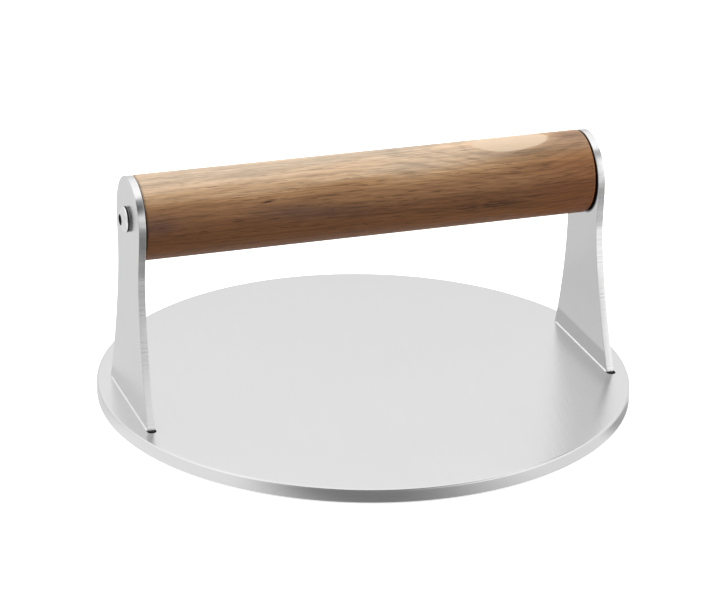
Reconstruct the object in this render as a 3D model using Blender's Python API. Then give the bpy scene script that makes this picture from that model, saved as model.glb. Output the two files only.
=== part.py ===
"""Hand-held patty press: a round steel plate, two steel uprights and a round wooden handle between them.

Metres, +Z up. The origin is the centre of the plate's underside, which is the pressing face.
The handle runs along X, and the left side is the one at -X.
"""

import math

import bmesh
import bpy
from mathutils import Vector

# Press plate
PLATE_RADIUS = 0.090
PLATE_THICKNESS = 0.0045
PLATE_TOP_CHAMFER = 0.0005
PLATE_UNDER_CHAMFER = 0.0003
PLATE_SEGMENTS = 192

# Uprights: flat plates that stand in blind slots milled into the press plate
UPRIGHT_THICKNESS = 0.0025
UPRIGHT_SPAN = 0.164  # between the two outer faces, at the foot
FOOT_WIDTH = 0.047
NECK_WIDTH = 0.025
NECK_HEIGHT = 0.0475  # above the plate, where the flare of the foot ends
FLARE_POWER = 1.65
EDGE_CHAMFER = 0.00045
FLARE_STEPS = 18
NECK_STEPS = 8
TOP_STEPS = 28
LEFT_LEAN = math.radians(0.4)  # the screws draw both uprights in at the top
RIGHT_LEAN = math.radians(1.94)

# Slots and welds
GAP = 0.0003
SLOT_DEPTH = 0.0025
SLOT_OVERRUN = 0.0021  # past each end of the foot
SLOT_END_STEPS = 12
WELD_LEG = 0.0006
WELD_BULGE = 0.45  # how far out the fillet's face stands at its middle, as a share of the leg each way
WELD_GAP = 0.0001
WELD_LENGTH = 0.0462

# Handle
HANDLE_RADIUS = 0.014
HANDLE_AXIS_HEIGHT = 0.0695
HANDLE_RIM_ROUND = 0.0010
HANDLE_RIM_STEPS = 4
TIP_ROOM = 0.004  # of bore past each insert, for the screw's tip
HANDLE_SEGMENTS = 96
RIGHT_END_GAP = 0.0007  # on the axis; the leaning upright all but touches the top of the end

# M5 screws with a low domed head and a 3 mm hexagon socket
SCREW_LENGTH = 0.016
SCREW_RADIUS = 0.0024
SCREW_TIP_CHAMFER = 0.0006
SCREW_HEAD_RADIUS = 0.00425
SCREW_HEAD_HEIGHT = 0.0026
SCREW_HEAD_RIM = 0.0006
SCREW_SEAT_CHAMFER = 0.0002
DOME_STEPS = 10
SOCKET_ACROSS_FLATS = 0.003
SOCKET_DEPTH = 0.0016
SCREW_CLEARANCE_RADIUS = 0.0028
SCREW_SEGMENTS = 48

# Threaded inserts in the handle's ends
INSERT_LENGTH = 0.013
INSERT_RADIUS = 0.0040
INSERT_GROOVE_DEPTH = 0.0006
INSERT_PITCH = 0.0026
INSERT_CREST = 0.4  # as a share of the pitch, like the flank
INSERT_FLANK = 0.175
INSERT_BORE_RADIUS = SCREW_RADIUS + GAP
INSERT_SEGMENTS = 24

SMOOTH_ANGLE = math.radians(30)
MERGE_DISTANCE = 1e-7

LEFT, RIGHT = -1, 1
SIDE_NAMES = {LEFT: "left", RIGHT: "right"}
LEAN = {LEFT: LEFT_LEAN, RIGHT: RIGHT_LEAN}


def clear_scene():
    for obj in list(bpy.data.objects):
        bpy.data.objects.remove(obj, do_unlink=True)


def make_material(name, color, roughness, metallic):
    material = bpy.data.materials.new(name)
    material.use_nodes = True
    shader = material.node_tree.nodes["Principled BSDF"]
    shader.inputs["Base Color"].default_value = (*color, 1.0)
    shader.inputs["Roughness"].default_value = roughness
    shader.inputs["Metallic"].default_value = metallic
    return material


def add_object(name, bm, material, parent=None, location=(0, 0, 0), rotation=(0, 0, 0)):
    """Turns a finished bmesh into a named, smooth-shaded object."""
    bmesh.ops.recalc_face_normals(bm, faces=bm.faces)
    mesh = bpy.data.meshes.new(name)
    bm.to_mesh(mesh)
    bm.free()
    mesh.shade_smooth()
    mesh.set_sharp_from_angle(angle=SMOOTH_ANGLE)
    mesh.materials.append(material)
    obj = bpy.data.objects.new(name, mesh)
    bpy.context.scene.collection.objects.link(obj)
    obj.parent = parent
    obj.location = location
    obj.rotation_euler = rotation
    return obj


def add_frame(name, location, rotation=(0, 0, 0)):
    frame = bpy.data.objects.new(name, None)
    frame.empty_display_size = 0.01
    frame.location = location
    frame.rotation_euler = rotation
    bpy.context.scene.collection.objects.link(frame)
    return frame


def cut(target, bm, name, parent=None, location=(0, 0, 0), rotation=(0, 0, 0)):
    """Removes a cutter from target. The cutter stays in the scene as a hidden wire object."""
    bmesh.ops.recalc_face_normals(bm, faces=bm.faces)
    mesh = bpy.data.meshes.new(name)
    bm.to_mesh(mesh)
    bm.free()
    cutter = bpy.data.objects.new(name, mesh)
    bpy.context.scene.collection.objects.link(cutter)
    cutter.parent = parent
    cutter.location = location
    cutter.rotation_euler = rotation
    cutter.hide_render = True
    cutter.display_type = "WIRE"
    boolean = target.modifiers.new(name, "BOOLEAN")
    boolean.operation = "DIFFERENCE"
    boolean.solver = "EXACT"
    boolean.object = cutter


def turned(profile, segments):
    """A solid of revolution about X. The profile is a list of (x, radius): its two ends lie on the axis, or
    are joined to make a tube."""
    bm = bmesh.new()
    verts = [bm.verts.new((x, 0, radius)) for x, radius in profile]
    edges = [bm.edges.new(pair) for pair in zip(verts, verts[1:])]
    if profile[0][1] > 0:
        edges.append(bm.edges.new((verts[-1], verts[0])))
    bmesh.ops.spin(
        bm,
        geom=verts + edges,
        cent=(0, 0, 0),
        axis=(1, 0, 0),
        angle=math.tau,
        steps=segments,
        use_merge=True,
    )
    bmesh.ops.remove_doubles(bm, verts=bm.verts, dist=MERGE_DISTANCE)
    bmesh.ops.dissolve_degenerate(bm, edges=bm.edges, dist=MERGE_DISTANCE)
    return bm


def prism(outline, direction):
    """The outline, a list of 3-D points in one plane, extruded along direction."""
    bm = bmesh.new()
    face = bm.faces.new([bm.verts.new(point) for point in outline])
    extruded = bmesh.ops.extrude_face_region(bm, geom=[face])
    moved = [item for item in extruded["geom"] if isinstance(item, bmesh.types.BMVert)]
    bmesh.ops.translate(bm, verts=moved, vec=direction)
    return bm


def stadium(length, width, segments, z):
    """A slot outline with round ends: it runs along Y, with its centre on the origin."""
    radius = width / 2
    straight = length / 2 - radius
    points = []
    for end in (1, -1):
        for step in range(segments + 1):
            angle = math.pi * step / segments + (0 if end > 0 else math.pi)
            points.append((radius * math.cos(angle), end * straight + radius * math.sin(angle), z))
    return points


def foot_position(side):
    """The middle of an upright's thickness, at the plate's top face."""
    return Vector((side * (UPRIGHT_SPAN - UPRIGHT_THICKNESS) / 2, 0, PLATE_THICKNESS))


def face_x(side, inner, height):
    """Where an upright's inner or outer face crosses the XZ plane at a height above the floor."""
    half = UPRIGHT_THICKNESS / 2 / math.cos(LEAN[side])
    drawn_in = (height - PLATE_THICKNESS) * math.tan(LEAN[side])
    return side * (abs(foot_position(side).x) - drawn_in + (-half if inner else half))


def make_plate(steel):
    bm = bmesh.new()
    bmesh.ops.create_circle(bm, cap_ends=True, radius=PLATE_RADIUS, segments=PLATE_SEGMENTS)
    extruded = bmesh.ops.extrude_face_region(bm, geom=bm.faces[:])
    moved = [item for item in extruded["geom"] if isinstance(item, bmesh.types.BMVert)]
    bmesh.ops.translate(bm, verts=moved, vec=(0, 0, PLATE_THICKNESS))
    for height, chamfer in ((PLATE_THICKNESS, PLATE_TOP_CHAMFER), (0, PLATE_UNDER_CHAMFER)):
        rim = [e for e in bm.edges if all(abs(v.co.z - height) < MERGE_DISTANCE for v in e.verts)]
        bmesh.ops.bevel(bm, geom=rim, offset=chamfer, segments=1, profile=0.5, affect="EDGES")
    plate = add_object("press_plate", bm, steel)
    for side in (LEFT, RIGHT):
        outline = stadium(
            FOOT_WIDTH + 2 * SLOT_OVERRUN, UPRIGHT_THICKNESS + 2 * GAP, SLOT_END_STEPS, -SLOT_DEPTH
        )
        slot = prism(outline, (0, 0, 2 * SLOT_DEPTH))
        cut(plate, slot, f"{SIDE_NAMES[side]}_slot_cutter", location=foot_position(side))


def half_width(height):
    """Half the upright's width at a height above the plate, up to the handle's axis."""
    neck = NECK_WIDTH / 2
    if height <= NECK_HEIGHT:
        rise = (NECK_HEIGHT - max(height, 0)) / NECK_HEIGHT
        return neck + (FOOT_WIDTH / 2 - neck) * rise**FLARE_POWER
    axis = HANDLE_AXIS_HEIGHT - PLATE_THICKNESS
    rise = (height - NECK_HEIGHT) / (axis - NECK_HEIGHT)
    return neck + (HANDLE_RADIUS - neck) * rise * rise * (3 - 2 * rise)


def upright_outline():
    """In the YZ plane, from the bottom of the foot round the top and back. Z counts from the plate's top."""
    axis = HANDLE_AXIS_HEIGHT - PLATE_THICKNESS
    heights = [GAP - SLOT_DEPTH]
    heights += [NECK_HEIGHT * step / FLARE_STEPS for step in range(FLARE_STEPS)]
    heights += [NECK_HEIGHT + (axis - NECK_HEIGHT) * step / NECK_STEPS for step in range(NECK_STEPS)]
    side = [(half_width(height), height) for height in heights]
    arc = []
    for step in range(TOP_STEPS + 1):
        angle = math.pi * step / TOP_STEPS
        arc.append((HANDLE_RADIUS * math.cos(angle), axis + HANDLE_RADIUS * math.sin(angle)))
    return side + arc + [(-y, z) for y, z in reversed(side)]


def make_upright(side, frame, steel):
    name = SIDE_NAMES[side]
    half = UPRIGHT_THICKNESS / 2
    bm = prism([(-half, y, z) for y, z in upright_outline()], (UPRIGHT_THICKNESS, 0, 0))
    rims = [e for e in bm.edges if abs(e.verts[0].co.x - e.verts[1].co.x) < MERGE_DISTANCE]
    bmesh.ops.bevel(bm, geom=rims, offset=EDGE_CHAMFER, segments=1, profile=0.5, affect="EDGES")
    upright = add_object(f"{name}_upright", bm, steel, parent=frame)
    reach = UPRIGHT_THICKNESS
    hole = turned(
        [
            (-reach, 0),
            (-reach, SCREW_CLEARANCE_RADIUS),
            (reach, SCREW_CLEARANCE_RADIUS),
            (reach, 0),
        ],
        SCREW_SEGMENTS,
    )
    axis = (HANDLE_AXIS_HEIGHT - PLATE_THICKNESS) / math.cos(LEAN[side])
    cut(upright, hole, f"{name}_hole_cutter", parent=frame, location=(0, 0, axis))


def make_welds(side, frame, weld_steel):
    """A fillet run along each face of the foot, standing on the plate."""
    for way, word in ((side, "outer"), (-side, "inner")):
        near = way * (UPRIGHT_THICKNESS / 2 + WELD_GAP)
        far = near + way * WELD_LEG
        start = -WELD_LENGTH / 2
        section = [
            (near, start, WELD_GAP),
            (far, start, WELD_GAP),
            (near + way * WELD_LEG * WELD_BULGE, start, WELD_GAP + WELD_LEG * WELD_BULGE),
            (near, start, WELD_GAP + WELD_LEG),
        ]
        bm = prism(section, (0, WELD_LENGTH, 0))
        add_object(f"{SIDE_NAMES[side]}_{word}_weld", bm, weld_steel, parent=frame)


def handle_ends():
    """The X of the handle's left and right end faces."""
    left = face_x(LEFT, True, HANDLE_AXIS_HEIGHT) + GAP
    right = face_x(RIGHT, True, HANDLE_AXIS_HEIGHT) - RIGHT_END_GAP
    return left, right


def make_handle(wood):
    """Turned from round stock, with a stepped bore in each end for the insert and the screw's tip."""
    left, right = handle_ends()
    middle = (left + right) / 2
    half = (right - left) / 2
    bore_radius = INSERT_RADIUS + GAP
    bore_depth = INSERT_LENGTH + 2 * GAP
    tip_depth = bore_depth + TIP_ROOM
    end = [
        (half - tip_depth, 0),
        (half - tip_depth, SCREW_CLEARANCE_RADIUS),
        (half - bore_depth, SCREW_CLEARANCE_RADIUS),
        (half - bore_depth, bore_radius),
        (half, bore_radius),
    ]
    for step in range(HANDLE_RIM_STEPS + 1):
        angle = math.pi / 2 * step / HANDLE_RIM_STEPS
        x = half - HANDLE_RIM_ROUND * (1 - math.cos(angle))
        end.append((x, HANDLE_RADIUS - HANDLE_RIM_ROUND * (1 - math.sin(angle))))
    profile = end + [(-x, radius) for x, radius in reversed(end)]
    add_object(
        "handle", turned(profile, HANDLE_SEGMENTS), wood, location=(middle, 0, HANDLE_AXIS_HEIGHT)
    )


def make_insert(side, brass):
    """A brass sleeve with a coarse outer thread, drawn as ridges, sunk just below the handle's end face."""
    end_x = handle_ends()[0 if side == LEFT else 1]
    grooves = round(INSERT_LENGTH / INSERT_PITCH)
    root = INSERT_RADIUS - INSERT_GROOVE_DEPTH
    profile = [(0, INSERT_BORE_RADIUS), (0, INSERT_RADIUS)]
    for groove in range(grooves):
        start = (groove + INSERT_CREST / 2) * INSERT_PITCH
        end = start + (1 - INSERT_CREST) * INSERT_PITCH
        flank = INSERT_FLANK * INSERT_PITCH
        profile += [(start, INSERT_RADIUS), (start + flank, root)]
        profile += [(end - flank, root), (end, INSERT_RADIUS)]
    profile += [(INSERT_LENGTH, INSERT_RADIUS), (INSERT_LENGTH, INSERT_BORE_RADIUS)]
    inward = [(-side * x, radius) for x, radius in profile]
    add_object(
        f"{SIDE_NAMES[side]}_insert",
        turned(inward, INSERT_SEGMENTS),
        brass,
        location=(end_x - side * GAP, 0, HANDLE_AXIS_HEIGHT),
    )


def dome_profile():
    """The button head's round top, from its rim to the axis, as (height above the seat, radius)."""
    crown = SCREW_HEAD_HEIGHT - SCREW_HEAD_RIM
    ball = (SCREW_HEAD_RADIUS**2 + crown**2) / (2 * crown)
    points = []
    for step in range(DOME_STEPS + 1):
        radius = SCREW_HEAD_RADIUS * (1 - step / DOME_STEPS)
        height = SCREW_HEAD_HEIGHT - ball + math.sqrt(ball**2 - radius**2)
        points.append((height, radius))
    return points


def make_screw(side, screw_steel):
    """Button head outside the upright, shank through it into the insert. Local +X points to the tip."""
    name = SIDE_NAMES[side]
    seat_tilt = SCREW_HEAD_RADIUS * math.tan(LEAN[side])
    seat = face_x(side, False, HANDLE_AXIS_HEIGHT) + side * (GAP + seat_tilt)
    profile = [(-height, radius) for height, radius in reversed(dome_profile())]
    profile += [
        (-SCREW_SEAT_CHAMFER, SCREW_HEAD_RADIUS),
        (0, SCREW_HEAD_RADIUS - SCREW_SEAT_CHAMFER),
        (0, SCREW_RADIUS),
        (SCREW_LENGTH - SCREW_TIP_CHAMFER, SCREW_RADIUS),
        (SCREW_LENGTH, SCREW_RADIUS - SCREW_TIP_CHAMFER),
        (SCREW_LENGTH, 0),
    ]
    rotation = (0, 0, 0) if side == LEFT else (0, 0, math.pi)
    location = (seat, 0, HANDLE_AXIS_HEIGHT)
    bm = turned(profile, SCREW_SEGMENTS)
    screw = add_object(f"{name}_screw", bm, screw_steel, location=location, rotation=rotation)
    corner = SOCKET_ACROSS_FLATS / math.sqrt(3)
    start = SOCKET_DEPTH - SCREW_HEAD_HEIGHT
    hexagon = []
    for step in range(6):
        angle = math.tau * step / 6
        hexagon.append((start, corner * math.cos(angle), corner * math.sin(angle)))
    socket = prism(hexagon, (-2 * SOCKET_DEPTH, 0, 0))
    cut(screw, socket, f"{name}_socket_cutter", location=location, rotation=rotation)


def main():
    clear_scene()
    plate_steel = make_material("plate_steel", (0.66, 0.66, 0.66), 0.34, 1.0)
    upright_steel = make_material("upright_steel", (0.62, 0.62, 0.62), 0.30, 1.0)
    weld_steel = make_material("weld_steel", (0.78, 0.78, 0.78), 0.25, 1.0)
    screw_steel = make_material("screw_steel", (0.72, 0.72, 0.72), 0.08, 1.0)
    brass = make_material("insert_brass", (0.70, 0.52, 0.22), 0.35, 1.0)
    wood = make_material("handle_wood", (0.30, 0.15, 0.07), 0.50, 0.0)

    make_plate(plate_steel)
    for side in (LEFT, RIGHT):
        lean = (0, -side * LEAN[side], 0)
        frame = add_frame(f"{SIDE_NAMES[side]}_foot", foot_position(side), lean)
        make_upright(side, frame, upright_steel)
        make_welds(side, frame, weld_steel)
        make_screw(side, screw_steel)
        make_insert(side, brass)
    make_handle(wood)


main()
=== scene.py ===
"""Looks of the hand-held patty press.

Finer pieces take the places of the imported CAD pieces, with their materials, a studio light and a camera.
Metres, +Z up, the handle along X, the left side at -X, the same frame as the CAD.
"""

import math

import bmesh
import bpy
from mathutils import Matrix, Vector


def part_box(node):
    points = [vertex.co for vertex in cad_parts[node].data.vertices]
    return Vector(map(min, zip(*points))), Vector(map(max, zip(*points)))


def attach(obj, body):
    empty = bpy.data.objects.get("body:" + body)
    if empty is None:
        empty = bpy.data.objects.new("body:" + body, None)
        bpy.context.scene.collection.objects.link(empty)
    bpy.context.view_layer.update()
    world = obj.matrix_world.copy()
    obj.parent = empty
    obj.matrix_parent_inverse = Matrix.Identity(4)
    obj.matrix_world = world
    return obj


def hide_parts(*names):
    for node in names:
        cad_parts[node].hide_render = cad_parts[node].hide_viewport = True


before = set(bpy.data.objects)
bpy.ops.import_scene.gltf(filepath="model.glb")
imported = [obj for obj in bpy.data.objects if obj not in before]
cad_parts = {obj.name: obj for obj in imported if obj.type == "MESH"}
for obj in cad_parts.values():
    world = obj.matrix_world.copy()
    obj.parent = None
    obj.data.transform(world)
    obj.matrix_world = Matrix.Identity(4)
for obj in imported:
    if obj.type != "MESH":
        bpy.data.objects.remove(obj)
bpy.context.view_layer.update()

# Camera, from the photograph's perspective
CAMERA_AZIMUTH = math.radians(-19.225)
CAMERA_ELEVATION = math.radians(22.662)
CAMERA_ROLL = math.radians(0.893)
CAMERA_DISTANCE = 1.05692
CAMERA_SIDEWAYS = -0.00106
CAMERA_RISE = 0.02689
CAMERA_LENS = 155.75

# Sizes that the CAD boxes don't give directly
PLATE_CHAMFER = 0.0005
PLATE_UNDER_CHAMFER = 0.0003
UPRIGHT_THICKNESS = 0.0025
UPRIGHT_SPAN = 0.164
FOOT_WIDTH = 0.047
NECK_WIDTH = 0.025
NECK_HEIGHT = 0.0475
FLARE_POWER = 1.65
EDGE_CHAMFER = 0.00015
GAP = 0.0003
SLOT_DEPTH = 0.0025
SLOT_OVERRUN = 0.0021
LEAN = {-1: math.radians(0.4), 1: math.radians(1.94)}
HANDLE_RIM_ROUND = 0.0010
HANDLE_STRIP = 0.001  # flat strip beside the handle's rounded rims
INSERT_LENGTH = 0.013
INSERT_RADIUS = 0.0040
TIP_ROOM = 0.004
SCREW_RADIUS = 0.0024
SCREW_HEAD_HEIGHT = 0.0026
SCREW_HEAD_RIM = 0.0009  # straight side under the dome
SCREW_DOME_MARGIN = 0.0001  # the dome stops short of the rim, for its rounding
SCREW_RIM_ROUND = 0.00012
SCREW_SEAT_ROUND = 0.0002
SCREW_TIP_CHAMFER = 0.0006
SOCKET_ACROSS_FLATS = 0.003
SOCKET_DEPTH = 0.0016
SCREW_CLEARANCE_RADIUS = 0.0028
HOLE_CUTTER_REACH = 0.003  # past both faces of an upright
WELD_LEG = 0.0005
WELD_LENGTH = 0.0462
WELD_SINK = 0.00004  # how far a weld reaches into the steel beside it
RIM_STRIP = 0.0008  # flat strip beside the plate's chamfers
BRUSH_ANGLE = math.radians(8)  # of the plate's brushing from the Y axis

# Light
SOFTBOX_PLACE = (0.0, 0.45, 1.15)
SOFTBOX_AIM = (0, 0.1, 0.05)
SOFTBOX_SIZE = 1.3
SOFTBOX_POWER = 12.0

_, plate_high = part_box("press_plate")
PLATE_RADIUS = plate_high.x
PLATE_TOP = plate_high.z
handle_low, handle_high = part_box("handle")
HANDLE_RADIUS = handle_high.y
HANDLE_AXIS = (handle_high.z + handle_low.z) / 2
HANDLE_CENTRE = (handle_high.x + handle_low.x) / 2
HANDLE_HALF = (handle_high.x - handle_low.x) / 2

SIDES = {"left": -1, "right": 1}


# ---------------------------------------------------------------- meshes


def to_object(name, bm, material, matrix=None, sharp=30.0):
    bmesh.ops.remove_doubles(bm, verts=bm.verts, dist=1e-8)
    bmesh.ops.recalc_face_normals(bm, faces=bm.faces)
    mesh = bpy.data.meshes.new(name)
    bm.to_mesh(mesh)
    bm.free()
    mesh.shade_smooth()
    mesh.set_sharp_from_angle(angle=math.radians(sharp))
    if material:
        mesh.materials.append(material)
    obj = bpy.data.objects.new(name, mesh)
    bpy.context.scene.collection.objects.link(obj)
    if matrix is not None:
        obj.matrix_world = matrix
    return obj


def lathe(profile, segments, axis="X"):
    """Solid of revolution from a list of (along, radius). A profile that ends off the axis gets flat caps."""
    bm = bmesh.new()
    rings = []
    for along, radius in profile:
        if radius < 1e-9:
            rings.append([bm.verts.new((along, 0, 0))])
            continue
        ring = []
        for step in range(segments):
            angle = math.tau * step / segments
            ring.append(bm.verts.new((along, radius * math.cos(angle), radius * math.sin(angle))))
        rings.append(ring)
    for low, high in zip(rings, rings[1:]):
        for step in range(segments):
            after = (step + 1) % segments
            corners = [low[step % len(low)], low[after % len(low)]]
            corners += [high[after % len(high)], high[step % len(high)]]
            unique = list(dict.fromkeys(corners))
            if len(unique) > 2:
                bm.faces.new(unique)
    for ring in (rings[0], rings[-1]):
        if len(ring) > 1:
            bm.faces.new(ring)
    if axis == "Z":
        bmesh.ops.rotate(bm, verts=bm.verts, cent=(0, 0, 0), matrix=Matrix.Rotation(-math.pi / 2, 3, "Y"))
    return bm


def arc(centre, radius, start, end, steps):
    """Points (along, radius) on a quarter round, angles in degrees from the along direction."""
    points = []
    for step in range(steps + 1):
        angle = math.radians(start + (end - start) * step / steps)
        points.append((centre[0] + radius * math.cos(angle), centre[1] + radius * math.sin(angle)))
    return points


def prism(outline, direction):
    bm = bmesh.new()
    face = bm.faces.new([bm.verts.new(point) for point in outline])
    extruded = bmesh.ops.extrude_face_region(bm, geom=[face])
    moved = [item for item in extruded["geom"] if isinstance(item, bmesh.types.BMVert)]
    bmesh.ops.translate(bm, verts=moved, vec=direction)
    return bm


def cut(target, bm, matrix=None):
    cutter = to_object("cutter", bm, None, matrix)
    boolean = target.modifiers.new("cut", "BOOLEAN")
    boolean.operation = "DIFFERENCE"
    boolean.solver = "EXACT"
    boolean.object = cutter
    bpy.context.view_layer.update()
    graph = bpy.context.evaluated_depsgraph_get()
    mesh = bpy.data.meshes.new_from_object(target.evaluated_get(graph))
    target.modifiers.clear()
    old = target.data
    target.data = mesh
    bpy.data.meshes.remove(old)
    bpy.data.objects.remove(cutter)
    mesh.name = target.name


def even_normals(obj):
    """Flat faces keep flat shading right up to their rounded edges."""
    weighted = obj.modifiers.new("normals", "WEIGHTED_NORMAL")
    weighted.keep_sharp = True
    weighted.weight = 100


def place(obj, slot, *nodes):
    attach(obj, "root")
    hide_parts(*nodes)


# ---------------------------------------------------------------- node helpers


class Shader:
    def __init__(self, name):
        self.material = bpy.data.materials.new(name)
        self.material.use_nodes = True
        self.tree = self.material.node_tree
        self.out = self.tree.nodes["Principled BSDF"]
        self.coords = self.node("ShaderNodeTexCoord").outputs["Object"]

    def node(self, kind, **settings):
        made = self.tree.nodes.new(kind)
        for key, value in settings.items():
            setattr(made, key, value)
        return made

    def put(self, socket, value):
        if isinstance(value, bpy.types.NodeSocket):
            self.tree.links.new(value, socket)
        elif isinstance(value, (tuple, list)) and len(value) == 3 and socket.type == "RGBA":
            socket.default_value = (*value, 1.0)
        else:
            socket.default_value = value

    def set(self, name, value):
        self.put(self.out.inputs[name], value)

    def calc(self, operation, a, b=0.0, c=0.0, clamp=False):
        made = self.node("ShaderNodeMath", operation=operation, use_clamp=clamp)
        for socket, value in zip(made.inputs, (a, b, c)):
            self.put(socket, value)
        return made.outputs[0]

    def product(self, first, *others):
        for other in others:
            first = self.calc("MULTIPLY", first, other)
        return first

    def length(self, a, b):
        return self.calc("SQRT", self.calc("ADD", self.product(a, a), self.product(b, b)))

    def offset(self, value, centre, half):
        """Distance from a centre, in units of the half width."""
        return self.calc("DIVIDE", self.calc("SUBTRACT", value, centre), half)

    def bell(self, value, centre, half):
        """1 at the centre, falling smoothly on both sides."""
        off = self.offset(value, centre, half)
        return self.calc("EXPONENT", self.product(off, off, -1.0))

    def vary(self, value, noise, amount):
        """The value, moved up and down by a noise between 0 and 1."""
        return self.calc("MULTIPLY_ADD", self.calc("SUBTRACT", noise, 0.5), amount, value)

    def dim(self, value, mask, loss):
        """The value, less a share of it where the mask is 1."""
        return self.product(value, self.calc("MULTIPLY_ADD", mask, -loss, 1.0))

    def split(self, vector):
        made = self.node("ShaderNodeSeparateXYZ")
        self.put(made.inputs[0], vector)
        return made.outputs

    def join(self, x, y, z):
        made = self.node("ShaderNodeCombineXYZ")
        for socket, value in zip(made.inputs, (x, y, z)):
            self.put(socket, value)
        return made.outputs[0]

    def stretch(self, vector, scale, offset=(0, 0, 0)):
        made = self.node("ShaderNodeMapping")
        self.put(made.inputs["Vector"], vector)
        made.inputs["Scale"].default_value = scale
        made.inputs["Location"].default_value = offset
        return made.outputs[0]

    def noise(self, vector, scale=1.0, detail=2.0, roughness=0.5):
        made = self.node("ShaderNodeTexNoise")
        self.put(made.inputs["Vector"], vector)
        made.inputs["Scale"].default_value = scale
        made.inputs["Detail"].default_value = detail
        made.inputs["Roughness"].default_value = roughness
        return made.outputs["Fac"]

    def span(self, value, low, high, to_low=0.0, to_high=1.0, smooth=True):
        made = self.node("ShaderNodeMapRange", interpolation_type="SMOOTHSTEP" if smooth else "LINEAR")
        for socket, number in zip(made.inputs, (value, low, high, to_low, to_high)):
            self.put(socket, number)
        return made.outputs[0]

    def ramp(self, value, stops):
        made = self.node("ShaderNodeValToRGB")
        self.put(made.inputs[0], value)
        elements = made.color_ramp.elements
        while len(elements) < len(stops):
            elements.new(0.5)
        for element, (position, color) in zip(elements, stops):
            element.position = position
            element.color = (*color, 1.0) if isinstance(color, tuple) else (color, color, color, 1.0)
        return made.outputs[0]

    def grey(self, tone):
        return self.join(tone, tone, tone)

    def tint(self, color, by):
        return self.mix(1.0, color, by, "MULTIPLY")

    def mix(self, factor, a, b, blend="MIX"):
        made = self.node("ShaderNodeMix", data_type="RGBA", blend_type=blend)
        made.clamp_factor = True
        self.put(made.inputs["Factor"], factor)
        self.put(made.inputs[6], a)
        self.put(made.inputs[7], b)
        return made.outputs[2]

    def bump(self, height, strength, distance):
        made = self.node("ShaderNodeBump")
        made.inputs["Strength"].default_value = strength
        made.inputs["Distance"].default_value = distance
        self.put(made.inputs["Height"], height)
        return made.outputs[0]


# ---------------------------------------------------------------- materials


def plate_steel():
    s = Shader("plate_steel_brushed")
    normal = s.node("ShaderNodeTexCoord").outputs["Normal"]
    nz = s.split(normal)[2]
    top = s.span(nz, 0.6, 0.95)
    side = s.span(nz, 0.5, 0.2)
    turn = s.node("ShaderNodeVectorRotate", rotation_type="Z_AXIS")
    s.put(turn.inputs["Vector"], s.coords)
    turn.inputs["Angle"].default_value = BRUSH_ANGLE
    brushed = turn.outputs[0]
    fine = s.noise(s.stretch(brushed, (5200, 110, 100)), 1.0, 3.0, 0.6)
    broad = s.noise(s.stretch(brushed, (620, 14, 14)), 1.0, 2.0, 0.5)
    cloud = s.noise(s.stretch(s.coords, (22, 22, 22)), 1.0, 2.0, 0.5)
    tone = s.vary(s.vary(s.vary(1.0, fine, 0.07), broad, 0.02), cloud, 0.03)
    base = s.tint((0.70, 0.70, 0.70), s.grey(tone))
    lines = s.noise(s.stretch(s.coords, (0, 0, 9000)), 1.0, 2.0, 0.6)
    rim = s.tint((0.66, 0.66, 0.66), s.grey(s.vary(1.0, lines, 0.16)))
    s.set("Base Color", s.mix(side, base, rim))
    s.set("Metallic", 1.0)
    s.set("Roughness", s.vary(0.20, fine, 0.04))
    s.set("Anisotropic", 0.90)
    across = s.join(math.cos(BRUSH_ANGLE), math.sin(BRUSH_ANGLE), 0.0)
    s.set("Tangent", s.mix(side, across, s.join(0.0, 0.0, 1.0)))
    scratches = s.noise(s.stretch(brushed, (1700, 50, 50)), 1.0, 3.0, 0.6)
    s.set("Normal", s.bump(s.calc("MULTIPLY", scratches, top), 0.30, 0.00008))
    return s.material


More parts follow.
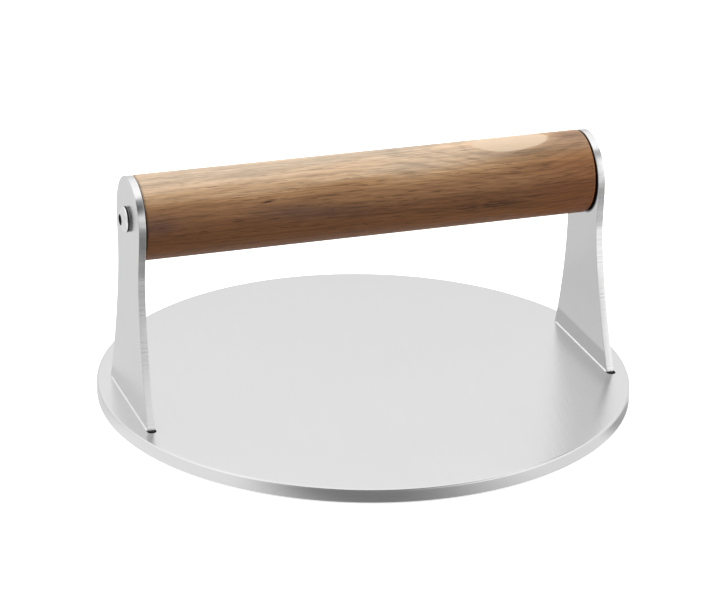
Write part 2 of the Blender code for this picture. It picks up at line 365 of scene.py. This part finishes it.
def upright_steel(name):
    side = SIDES[name]
    s = Shader(f"{name}_upright_steel")
    normal = s.node("ShaderNodeTexCoord").outputs["Normal"]
    nx = s.split(normal)[0]
    _, y, z = s.split(s.coords)
    up = s.calc("SUBTRACT", z, HANDLE_AXIS - PLATE_TOP)

    # Where things are: 1 on the narrow edge, on the inner face, and on the stretches where shade and dark
    # reflections are painted
    edge = s.span(s.calc("ABSOLUTE", nx), 0.5, 0.15)
    inner = s.span(s.calc("MULTIPLY", nx, side), -0.5, -0.9)
    # painted shade: a darker band low on the inner face, in the corner where it meets the plate
    foot_corner_shade = s.product(s.span(z, 0.0072, 0.0058), inner)
    # painted shade: near black on the inner face behind the handle's end, where the gap lies
    gap_shade = s.product(s.span(s.length(y, up), HANDLE_RADIUS + 0.0006, HANDLE_RADIUS - 0.0006), inner)
    # painted dark reflection of the handle on the narrow front edge, just below the handle's axis
    painted_handle_reflection = s.product(s.bell(up, -0.0025, 0.0042), edge, s.span(y, 0.0, -0.008))
    # painted dark reflection: a stripe across the narrow front edge on the round top
    top_dark_reflection = s.product(s.bell(up, 0.0079, 0.0015), edge, s.span(y, 0.0, -0.006))

    grain = s.noise(s.stretch(s.coords, (900, 900, 900)), 1.0, 2.0, 0.5)
    cloud = s.noise(s.stretch(s.coords, (60, 60, 60)), 1.0, 2.0, 0.5)
    ripple = s.noise(s.stretch(s.coords, (120, 60, 1500)), 1.0, 2.0, 0.6)
    patch = s.span(s.noise(s.stretch(s.coords, (10, 10, 90)), 1.0, 1.0, 0.5), 0.42, 0.62)
    tone = s.vary(s.vary(1.0, grain, 0.04), cloud, 0.05)
    patchy_edge = s.product(edge, s.calc("MULTIPLY_ADD", patch, 0.7, 0.3))
    waves = s.product(patchy_edge, s.calc("SUBTRACT", ripple, 0.5))
    tone = s.calc("MULTIPLY_ADD", waves, 0.50, tone)
    # the painted dark reflection on the round top is on the left upright only
    top_reflection_loss = 0.60 if name == "left" else 0.0
    for mask, loss in ((foot_corner_shade, 0.24), (gap_shade, 0.96), (painted_handle_reflection, 0.55), (top_dark_reflection, top_reflection_loss)):
        tone = s.dim(tone, mask, loss)
    steel = s.mix(edge, (0.70, 0.70, 0.70), (0.68, 0.68, 0.68))
    s.set("Base Color", s.tint(steel, s.grey(tone)))
    # the painted shade behind the handle's end is not metal
    s.set("Metallic", s.calc("SUBTRACT", 1.0, gap_shade, clamp=True))
    s.set("Specular IOR Level", 0.0)
    s.set("Roughness", s.calc("MULTIPLY_ADD", edge, -0.06, 0.26))
    height = s.product(ripple, edge, s.calc("MULTIPLY_ADD", patch, 0.8, 0.2))
    s.set("Normal", s.bump(height, 0.45, 0.00007))
    return s.material


def weld_steel():
    s = Shader("weld_steel_dressed")
    streak = s.noise(s.stretch(s.coords, (900, 500, 900)), 1.0, 2.0, 0.5)
    s.set("Base Color", (0.86, 0.86, 0.86))
    s.set("Metallic", 1.0)
    s.set("Roughness", s.calc("MULTIPLY_ADD", streak, 0.15, 0.15))
    return s.material


def screw_steel():
    s = Shader("screw_steel_polished")
    smear = s.noise(s.stretch(s.coords, (700, 700, 700)), 1.0, 2.0, 0.5)
    normal = s.node("ShaderNodeTexCoord").outputs["Normal"]
    x, y, z = s.split(s.coords)
    radius = s.length(y, z)
    facing_out = s.calc("ABSOLUTE", s.split(normal)[0])
    # painted dark reflection: the head's straight side is near black and not metal
    wall_dark_reflection = s.product(s.span(facing_out, 0.35, 0.2), s.span(radius, 0.0038, 0.0040))
    # painted shade in the socket and round its mouth
    socket_shade = s.product(s.span(radius, 0.00196, 0.00188), s.span(x, 0.0044, 0.0040))
    # dark is 1 where the painted reflection and the painted shade lie
    dark = s.calc("MAXIMUM", wall_dark_reflection, s.calc("MULTIPLY", socket_shade, 0.95))
    s.set("Base Color", s.mix(dark, (0.78, 0.78, 0.78), (0.012, 0.012, 0.013)))
    s.set("Metallic", s.calc("SUBTRACT", 1.0, dark, clamp=True))
    s.set("Specular IOR Level", 0.15)
    s.set("Roughness", s.calc("MULTIPLY_ADD", dark, 0.35, s.calc("MULTIPLY_ADD", smear, 0.06, 0.05)))
    return s.material


def insert_brass():
    s = Shader("insert_brass_turned")
    lines = s.noise(s.stretch(s.coords, (4000, 200, 200)), 1.0, 2.0, 0.5)
    s.set("Base Color", s.ramp(lines, [(0.3, (0.58, 0.40, 0.15)), (0.7, (0.76, 0.57, 0.25))]))
    s.set("Metallic", 1.0)
    s.set("Roughness", s.calc("MULTIPLY_ADD", lines, 0.15, 0.28))
    return s.material


def handle_wood():
    s = Shader("handle_wood_oiled")
    mm = s.stretch(s.coords, (1000, 1000, 1000))
    x, y, z = s.split(mm)
    radius = HANDLE_RADIUS * 1000
    around = s.product(s.calc("ARCTAN2", z, s.calc("MULTIPLY", y, -1.0)), radius)

    def grain(along, across, shift=0.0, detail=2.0, low=0.36, high=0.64):
        noise = s.noise(s.stretch(mm, (along, across, across), (shift, shift, shift)), 1.0, detail, 0.55)
        return s.span(noise, low, high, smooth=False)

    def spot(centre_x, centre_around, half_x, half_around, bend=0.0):
        """A soft patch at a place along and around the handle, in millimetres."""
        straight = s.calc("MULTIPLY_ADD", s.calc("SUBTRACT", x, centre_x), -bend, around)
        return s.product(s.bell(x, centre_x, half_x), s.bell(straight, centre_around, half_around))

    wander = s.noise(s.stretch(mm, (0.020, 0.06, 0.06)), 1.0, 2.0, 0.5)
    ripple = s.noise(s.stretch(mm, (0.09, 0.30, 0.30)), 1.0, 2.0, 0.5)
    layer = s.calc("MULTIPLY_ADD", s.bell(x, 52.0, 30.0), 6.0, s.calc("MULTIPLY_ADD", y, -0.04, z))
    layer = s.vary(layer, wander, 3.0)
    fine_layer = s.calc("MULTIPLY_ADD", spot(40.0, -3.4, 8.0, 2.5), 2.2, s.vary(layer, ripple, 1.2))
    phase = s.calc("FRACT", s.calc("MULTIPLY", s.calc("ADD", fine_layer, 40.0), 0.62))
    ring = s.ramp(phase, [(0.0, 0.15), (0.12, 0.75), (0.60, 0.85), (0.88, 0.20), (1.0, 0.15)])
    streak = grain(0.022, 0.8, 2.0, 3.0)
    fine = grain(0.045, 2.4, 5.0)
    fibre = grain(0.16, 6.0, 9.0)
    thread = grain(0.030, 2.2, 17.0, 3.0, 0.56, 0.70)
    heart = s.noise(s.stretch(mm, (0.016, 0.17, 0.17), (3.1, 0.4, 1.7)), 1.0, 2.0, 0.5)
    # The base colour is darker towards the bottom and lighter towards the top: partly the wood's own tone,
    # partly painted light from above and painted shade below
    heart_and_top_light = s.vary(s.vary(z, wander, 4.0), heart, 8.0)
    heart_and_top_light = s.calc("MULTIPLY_ADD", s.span(x, 5.0, 60.0), -1.5, heart_and_top_light)
    heart_and_top_light = s.span(heart_and_top_light, -radius, radius, smooth=False)
    base = s.ramp(
        heart_and_top_light,
        [
            (0.0, (0.245, 0.100, 0.035)),
            (0.29, (0.192, 0.080, 0.029)),
            (0.50, (0.190, 0.084, 0.036)),
            (0.604, (0.275, 0.138, 0.062)),
            (0.704, (0.275, 0.140, 0.066)),
            (0.786, (0.375, 0.209, 0.101)),
            (0.864, (0.455, 0.297, 0.172)),
            (0.936, (0.510, 0.366, 0.245)),
            (1.0, (0.400, 0.308, 0.222)),
        ],
    )
    warm = s.span(x, 45.0, 76.0)
    base = s.mix(warm, base, s.tint(base, (0.98, 0.86, 0.78)))
    brown = s.calc("MULTIPLY", spot(60.0, 13.5, 26.0, 4.2), 0.56)
    base = s.mix(brown, base, s.tint(base, (0.20, 0.15, 0.10)))
    top_end = spot(74.0, 20.5, 11.0, 5.0)
    base = s.mix(top_end, base, s.tint(base, (0.45, 0.43, 0.43)))
    dark = s.calc("ADD", spot(-23.0, 1.2, 19.0, 2.3, -0.08), spot(-74.0, 2.0, 7.0, 3.2))
    dark = s.calc("MULTIPLY", dark, s.calc("MULTIPLY_ADD", streak, 0.30, 0.60))
    base = s.mix(dark, base, (0.120, 0.062, 0.046))
    bold = s.calc("MULTIPLY_ADD", spot(50.0, 8.0, 34.0, 7.0), 0.16, 0.20)
    tone = s.calc("MULTIPLY_ADD", s.calc("SUBTRACT", ring, 0.6), bold, 1.0)
    tone = s.vary(s.vary(s.vary(tone, streak, 0.14), fine, 0.22), fibre, 0.34)
    tone = s.calc("MULTIPLY", tone, s.calc("MULTIPLY_ADD", thread, -0.34, 1.04))
    base = s.tint(base, s.grey(tone))
    pores = grain(0.16, 3.8, 13.0, 1.0, 0.62, 0.67)
    crowd = s.noise(s.stretch(mm, (0.05, 0.35, 0.35), (7.0, 1.0, 4.0)), 1.0, 1.0, 0.5)
    crowd = s.span(crowd, 0.35, 0.6)
    pores = s.calc("MULTIPLY", pores, s.calc("MULTIPLY_ADD", crowd, 0.8, 0.2))
    fleck = s.calc("MULTIPLY", spot(38.0, -3.4, 14.0, 1.6, 0.01), grain(0.12, 1.6, 21.0, 2.0, 0.42, 0.55))
    crack = s.calc("MULTIPLY", spot(-37.0, 6.0, 2.0, 0.26, 0.08), 1.2)
    pore_depth = s.span(heart_and_top_light, 1.0, 0.75, 0.35, 0.72)
    marks = s.calc("MAXIMUM", s.product(fleck, 0.90), crack)
    marks = s.calc("MAXIMUM", s.product(pores, pore_depth), marks)
    base = s.mix(marks, base, (0.035, 0.016, 0.010))
    sap = s.span(layer, 18.6, 18.9)
    base = s.mix(s.calc("MULTIPLY", sap, 0.88), base, (0.56, 0.43, 0.31))
    s.set("Base Color", base)
    s.set("Roughness", s.calc("MULTIPLY_ADD", fine, 0.10, 0.42))
    s.set("Specular IOR Level", 0.14)
    height = s.calc("SUBTRACT", s.calc("MULTIPLY", fibre, 0.4), pores)
    s.set("Normal", s.bump(height, 0.30, 0.00008))
    return s.material


# ---------------------------------------------------------------- pieces


def foot_position(side):
    return Vector((side * (UPRIGHT_SPAN - UPRIGHT_THICKNESS) / 2, 0, PLATE_TOP))


def make_plate(material):
    """The slots are round and open in front of each foot. At the back they end under it.

    The chamfers round the rim bulge a little between their edges.
    """
    t, r = PLATE_TOP, PLATE_RADIUS
    under, over = PLATE_UNDER_CHAMFER, PLATE_CHAMFER
    profile = [(0, r - under - RIM_STRIP), (0, r - under)]
    profile += [(under * 0.35, r - under * 0.35), (under, r), (t - over, r)]
    profile += [(t - over * 0.72, r - over * 0.12), (t - over * 0.12, r - over * 0.72)]
    profile += [(t, r - over), (t, r - over - RIM_STRIP)]
    plate = to_object("press_plate_fine", lathe(profile, 384, "Z"), material, sharp=60)
    radius = (UPRIGHT_THICKNESS + 2 * GAP) / 2
    straight = FOOT_WIDTH / 2 + SLOT_OVERRUN - radius
    back = WELD_LENGTH / 2 - GAP
    outline = [(radius, back, -SLOT_DEPTH), (-radius, back, -SLOT_DEPTH)]
    for step in range(25):
        angle = math.pi * (1 + step / 24)
        outline.append((radius * math.cos(angle), radius * math.sin(angle) - straight, -SLOT_DEPTH))
    for side in SIDES.values():
        cut(plate, prism(outline, (0, 0, 2 * SLOT_DEPTH)), Matrix.Translation(foot_position(side)))
    plate.data.shade_smooth()
    plate.data.set_sharp_from_angle(angle=math.radians(50))
    even_normals(plate)
    place(plate, "plate_steel", "press_plate")


def half_width(height):
    neck = NECK_WIDTH / 2
    if height <= NECK_HEIGHT:
        rise = (NECK_HEIGHT - max(height, 0)) / NECK_HEIGHT
        return neck + (FOOT_WIDTH / 2 - neck) * rise**FLARE_POWER
    axis = HANDLE_AXIS - PLATE_TOP
    rise = (height - NECK_HEIGHT) / (axis - NECK_HEIGHT)
    return neck + (HANDLE_RADIUS - neck) * rise * rise * (3 - 2 * rise)


def make_upright(name, material):
    side = SIDES[name]
    axis = HANDLE_AXIS - PLATE_TOP
    heights = [GAP - SLOT_DEPTH] + [NECK_HEIGHT * step / 48 for step in range(48)]
    heights += [NECK_HEIGHT + (axis - NECK_HEIGHT) * step / 20 for step in range(20)]
    edge = [(half_width(height), height) for height in heights]
    top = [(y, z) for z, y in arc((axis, 0), HANDLE_RADIUS, 90, -90, 96)]
    outline = edge + top + [(-y, z) for y, z in reversed(edge)]
    half = UPRIGHT_THICKNESS / 2
    bm = prism([(-half, y, z) for y, z in outline], (UPRIGHT_THICKNESS, 0, 0))
    bmesh.ops.remove_doubles(bm, verts=bm.verts, dist=1e-7)
    rims = [e for e in bm.edges if abs(e.verts[0].co.x - e.verts[1].co.x) < 1e-7]
    bmesh.ops.bevel(bm, geom=rims, offset=EDGE_CHAMFER, segments=2, profile=0.5, affect="EDGES")
    matrix = Matrix.Translation(foot_position(side)) @ Matrix.Rotation(-side * LEAN[side], 4, "Y")
    upright = to_object(f"{name}_upright_fine", bm, material, matrix, sharp=50)
    reach = HOLE_CUTTER_REACH
    hole = lathe([(-reach, SCREW_CLEARANCE_RADIUS), (reach, SCREW_CLEARANCE_RADIUS)], 64)
    cut(upright, hole, matrix @ Matrix.Translation((0, 0, axis / math.cos(LEAN[side]))))
    upright.data.shade_smooth()
    upright.data.set_sharp_from_angle(angle=math.radians(50))
    even_normals(upright)
    place(upright, "upright_steel", f"{name}_upright")


def make_welds(name, material):
    """Slim dressed fillets that meet the plate and the upright, a little uneven, with tapered ends."""
    side = SIDES[name]
    matrix = Matrix.Translation(foot_position(side)) @ Matrix.Rotation(-side * LEAN[side], 4, "Y")
    steps, round_steps = 120, 6
    for way, word in ((side, "outer"), (-side, "inner")):
        bm = bmesh.new()
        rings = []
        for step in range(steps + 1):
            share = step / steps
            y = WELD_LENGTH * (share - 0.5)
            taper = min(1.0, 6.0 * math.sqrt(max(min(share, 1 - share), 0.0) + 0.0004))
            wobble = 1 + 0.05 * math.sin(37 * share + way) + 0.03 * math.sin(91 * share + 2 * way)
            leg = WELD_LEG * taper * wobble
            inner = UPRIGHT_THICKNESS / 2 - WELD_SINK
            ring = [bm.verts.new((way * inner, y, -WELD_SINK))]
            for turn in range(round_steps + 1):
                angle = math.pi / 2 * turn / round_steps
                bulge = 1 + 0.10 * math.sin(2 * angle)
                out = leg * (1 - math.sin(angle)) * 0.45 + leg * math.cos(angle) * 0.55
                rise = leg * (1 - math.cos(angle)) * 0.45 + leg * math.sin(angle) * 0.55
                ring.append(bm.verts.new((way * (inner + out * bulge), y, rise * bulge - WELD_SINK)))
            rings.append(ring)
        for low, high in zip(rings, rings[1:]):
            count = len(low)
            for step in range(count):
                after = (step + 1) % count
                bm.faces.new((low[step], low[after], high[after], high[step]))
        bm.faces.new(rings[0])
        bm.faces.new(rings[-1])
        fillet = to_object(f"{name}_{word}_fillet", bm, material, matrix, sharp=60)
        place(fillet, "weld_steel", f"{name}_{word}_weld")


def make_handle(material):
    half = HANDLE_HALF
    bore = INSERT_RADIUS + GAP
    bore_depth = INSERT_LENGTH + 2 * GAP
    tip_depth = bore_depth + TIP_ROOM
    end = [
        (half - tip_depth, 0),
        (half - tip_depth, SCREW_CLEARANCE_RADIUS),
        (half - bore_depth, SCREW_CLEARANCE_RADIUS),
        (half - bore_depth, bore),
        (half, bore),
        (half, HANDLE_RADIUS - HANDLE_RIM_ROUND - HANDLE_STRIP),
    ]
    end += arc((half - HANDLE_RIM_ROUND, HANDLE_RADIUS - HANDLE_RIM_ROUND), HANDLE_RIM_ROUND, 0, 90, 8)
    end.append((half - HANDLE_RIM_ROUND - HANDLE_STRIP, HANDLE_RADIUS))
    profile = end + [(-x, radius) for x, radius in reversed(end)]
    matrix = Matrix.Translation((HANDLE_CENTRE, 0, HANDLE_AXIS))
    handle = to_object("handle_fine", lathe(profile, 256), material, matrix, sharp=50)
    even_normals(handle)
    handle.visible_glossy = False  # the brushed plate shows no image of the handle
    place(handle, "handle_wood", "handle")


def make_screw(name, material):
    side = SIDES[name]
    low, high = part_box(f"{name}_screw")
    length = high.x - low.x
    head = high.y
    crown = SCREW_HEAD_HEIGHT - SCREW_HEAD_RIM
    ball = (head**2 + crown**2) / (2 * crown)
    profile = [(0, 0)]
    for step in range(1, 25):
        radius = (head - SCREW_DOME_MARGIN) * step / 24
        profile.append((ball - math.sqrt(ball**2 - radius**2), radius))
    profile += arc((crown + SCREW_RIM_ROUND, head - SCREW_RIM_ROUND), SCREW_RIM_ROUND, 150, 90, 4)
    seat = (SCREW_HEAD_HEIGHT - SCREW_SEAT_ROUND, head - SCREW_SEAT_ROUND)
    profile += arc(seat, SCREW_SEAT_ROUND, 90, 0, 4)
    profile += [
        (SCREW_HEAD_HEIGHT, SCREW_RADIUS),
        (length - SCREW_TIP_CHAMFER, SCREW_RADIUS),
        (length, SCREW_RADIUS - SCREW_TIP_CHAMFER),
        (length, 0),
    ]
    outer = low.x if side < 0 else high.x
    matrix = Matrix.Translation((outer, 0, HANDLE_AXIS))
    if side > 0:
        matrix = matrix @ Matrix.Rotation(math.pi, 4, "Z")
    screw = to_object(f"{name}_screw_fine", lathe(profile, 128), material, matrix, sharp=40)
    corner = SOCKET_ACROSS_FLATS / math.sqrt(3)
    hexagon = []
    for step in range(6):
        angle = math.tau * step / 6
        hexagon.append((SOCKET_DEPTH, corner * math.cos(angle), corner * math.sin(angle)))
    cut(screw, prism(hexagon, (-2 * SOCKET_DEPTH, 0, 0)), matrix)
    screw.data.shade_smooth()
    screw.data.set_sharp_from_angle(angle=math.radians(35))
    even_normals(screw)
    place(screw, "screw_steel", f"{name}_screw")


def dress_inserts(material):
    """The inserts keep their CAD meshes. They are hidden from mirror rays, as the handle round them is."""
    for name in SIDES:
        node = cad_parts[f"{name}_insert"]
        node.data.materials.clear()
        node.data.materials.append(material)
        node.visible_glossy = False


# ---------------------------------------------------------------- stage


def stage_plane(name, size, height, material):
    bm = bmesh.new()
    bmesh.ops.create_grid(bm, x_segments=1, y_segments=1, size=size)
    mesh = bpy.data.meshes.new(name)
    bm.to_mesh(mesh)
    bm.free()
    mesh.materials.append(material)
    plane = bpy.data.objects.new(name, mesh)
    plane.location = (0, 0, height)
    bpy.context.scene.collection.objects.link(plane)
    return plane


def make_floor():
    pale = Shader("floor_pale")
    pale.set("Base Color", (0.93, 0.93, 0.93))
    pale.set("Roughness", 0.9)
    pale.set("Emission Color", (1.0, 1.0, 1.0))
    pale.set("Emission Strength", 0.45)
    floor = stage_plane("floor", 4.0, -0.0002, pale.material)
    floor.visible_glossy = False
    floor.visible_diffuse = False

    # Painted light on a glowing floor that only mirror rays see: painted shadows of the press in front of the
    # plate, beside the right upright and at the left front, brighter towards both sides and dimmer behind
    low = Shader("floor_reflected")
    x, y, _ = low.split(low.coords)

    def spot(cx, cy, rx, ry, inner, outer, dark):
        """A painted shadow: a dim ellipse, from its dark value inside to 1 outside."""
        away = low.length(low.offset(x, cx, rx), low.offset(y, cy, ry))
        return low.span(away, inner, outer, dark, 1.0)

    shadowed_glow = low.product(
        spot(-0.038, -0.098, 0.060, 0.028, 0.3, 1.4, 0.27),
        spot(0.080, -0.050, 0.026, 0.020, 0.3, 1.1, 0.45),
        spot(0.121, -0.096, 0.030, 0.020, 0.3, 1.2, 0.35),
        low.span(x, 0.06, 0.13, 1.0, 1.25),
        low.span(x, -0.05, -0.08, 1.0, 1.10),
        low.span(y, -0.018, 0.014, 1.0, 0.78),
    )
    left_front_shadow = low.product(low.span(y, -0.12, -0.15), low.span(x, 0.10, 0.06))
    shadowed_glow = low.dim(shadowed_glow, left_front_shadow, 0.42)
    low.set("Base Color", (0.0, 0.0, 0.0))
    low.set("Roughness", 1.0)
    low.set("Specular IOR Level", 0.0)
    low.set("Emission Color", (1.0, 1.0, 1.0))
    low.set("Emission Strength", shadowed_glow)
    mirror_floor = stage_plane("floor_for_reflections", 4.0, -0.0004, low.material)
    mirror_floor.visible_camera = False
    mirror_floor.visible_diffuse = False
    mirror_floor.visible_shadow = False


def make_world():
    world = bpy.data.worlds.new("studio")
    bpy.context.scene.world = world
    world.use_nodes = True
    s = Shader.__new__(Shader)  # only for its node helpers: a world has no Principled BSDF
    s.tree = world.node_tree
    back = s.tree.nodes["Background"]
    x, y, z = s.split(s.node("ShaderNodeTexCoord").outputs["Generated"])
    flat = s.calc("MAXIMUM", s.length(x, y), 0.001)
    azimuth = s.calc("MULTIPLY", s.calc("ARCTAN2", x, y), math.degrees(1))
    lift = s.calc("MULTIPLY_ADD", z, 0.5, 0.5)

    def at(degrees):
        """Place on the lift scale of an elevation."""
        return 0.5 + 0.5 * math.sin(math.radians(degrees))

    def by_elevation(*stops):
        return s.ramp(lift, [(at(degrees), value) for degrees, value in stops])

    # The sky is bright behind and to the sides, and dark in a wide sector in front
    toward = math.radians(175)
    facing = s.calc("ADD", s.product(x, math.sin(toward)), s.product(y, math.cos(toward)))
    facing = s.calc("DIVIDE", facing, flat)
    front = s.span(facing, math.cos(math.radians(58)), math.cos(math.radians(42)))
    behind = by_elevation((-20, 0.10), (-4, 0.40), (12, 0.44), (20, 0.45), (26, 0.55), (55, 0.66), (75, 0.70))
    before = by_elevation((-20, 0.06), (-4, 0.10), (20, 0.13), (34, 0.12), (64, 0.12), (69, 0.70))
    sky = s.mix(front, behind, before)

    # A dark cap round one direction, below the bright top
    cap_azimuth, cap_elevation = math.radians(188), math.radians(48)
    cap = s.calc("MULTIPLY", x, math.sin(cap_azimuth) * math.cos(cap_elevation))
    cap = s.calc("MULTIPLY_ADD", y, math.cos(cap_azimuth) * math.cos(cap_elevation), cap)
    cap = s.calc("MULTIPLY_ADD", z, math.sin(cap_elevation), cap)
    cap = s.span(cap, math.cos(math.radians(46)), math.cos(math.radians(28)))
    below_top = s.span(z, math.sin(math.radians(69)), math.sin(math.radians(64)))
    sky = s.mix(s.product(cap, below_top), sky, (0.12, 0.12, 0.12))

    # Two bright cards in the dark sector, which the narrow edges of the uprights mirror.
    # The low one ends at azimuth 180, where the scale jumps to -180.
    low_card = by_elevation((-3, 0.40), (8, 0.95), (14, 1.0), (24, 0.90), (35, 0.15))
    low_card = s.product(low_card, s.span(azimuth, 120, 130), 0.51)
    tall_card = by_elevation((-20, 1.0), (33, 1.0), (43, 0.74), (50, 0.42), (60, 0.26), (68, 0.35))
    tall_card = s.product(tall_card, s.span(azimuth, 165, 152), s.span(azimuth, 110, 125), 0.90)
    sky = s.mix(1.0, sky, s.grey(s.calc("MAXIMUM", low_card, tall_card)), "LIGHTEN")
    s.put(back.inputs["Color"], sky)
    back.inputs["Strength"].default_value = 2.0


def make_softbox():
    data = bpy.data.lights.new("overhead_softbox", "AREA")
    data.size = SOFTBOX_SIZE
    data.energy = SOFTBOX_POWER
    softbox = bpy.data.objects.new("overhead_softbox", data)
    softbox.location = SOFTBOX_PLACE
    softbox.rotation_mode = "QUATERNION"
    softbox.rotation_quaternion = (Vector(SOFTBOX_AIM) - Vector(SOFTBOX_PLACE)).to_track_quat("-Z", "Y")
    softbox.visible_camera = False
    softbox.visible_glossy = False
    bpy.context.scene.collection.objects.link(softbox)


def make_camera():
    sin, cos = math.sin, math.cos
    a, e = CAMERA_AZIMUTH, CAMERA_ELEVATION
    back = Vector((sin(a) * cos(e), -cos(a) * cos(e), sin(e)))
    right = (-back).cross(Vector((0, 0, 1))).normalized()
    up = right.cross(-back)
    level = Matrix((right, up, back)).transposed()
    turned = level @ Matrix.Rotation(CAMERA_ROLL, 3, "Z")
    data = bpy.data.cameras.new("camera")
    data.sensor_width = 36.0
    data.lens = CAMERA_LENS
    data.clip_start = 0.05
    data.clip_end = 20.0
    camera = bpy.data.objects.new("camera", data)
    place_at = turned @ Vector((CAMERA_SIDEWAYS, CAMERA_RISE, CAMERA_DISTANCE))
    camera.matrix_world = Matrix.Translation(place_at) @ turned.to_4x4()
    bpy.context.scene.collection.objects.link(camera)
    bpy.context.scene.camera = camera


steel = plate_steel()
make_plate(steel)
weld = weld_steel()
polished = screw_steel()
for side_name in SIDES:
    make_upright(side_name, upright_steel(side_name))
    make_welds(side_name, weld)
    make_screw(side_name, polished)
make_handle(handle_wood())
dress_inserts(insert_brass())
make_floor()
make_world()
make_softbox()
make_camera()
bpy.context.scene.view_settings.view_transform = "Standard"
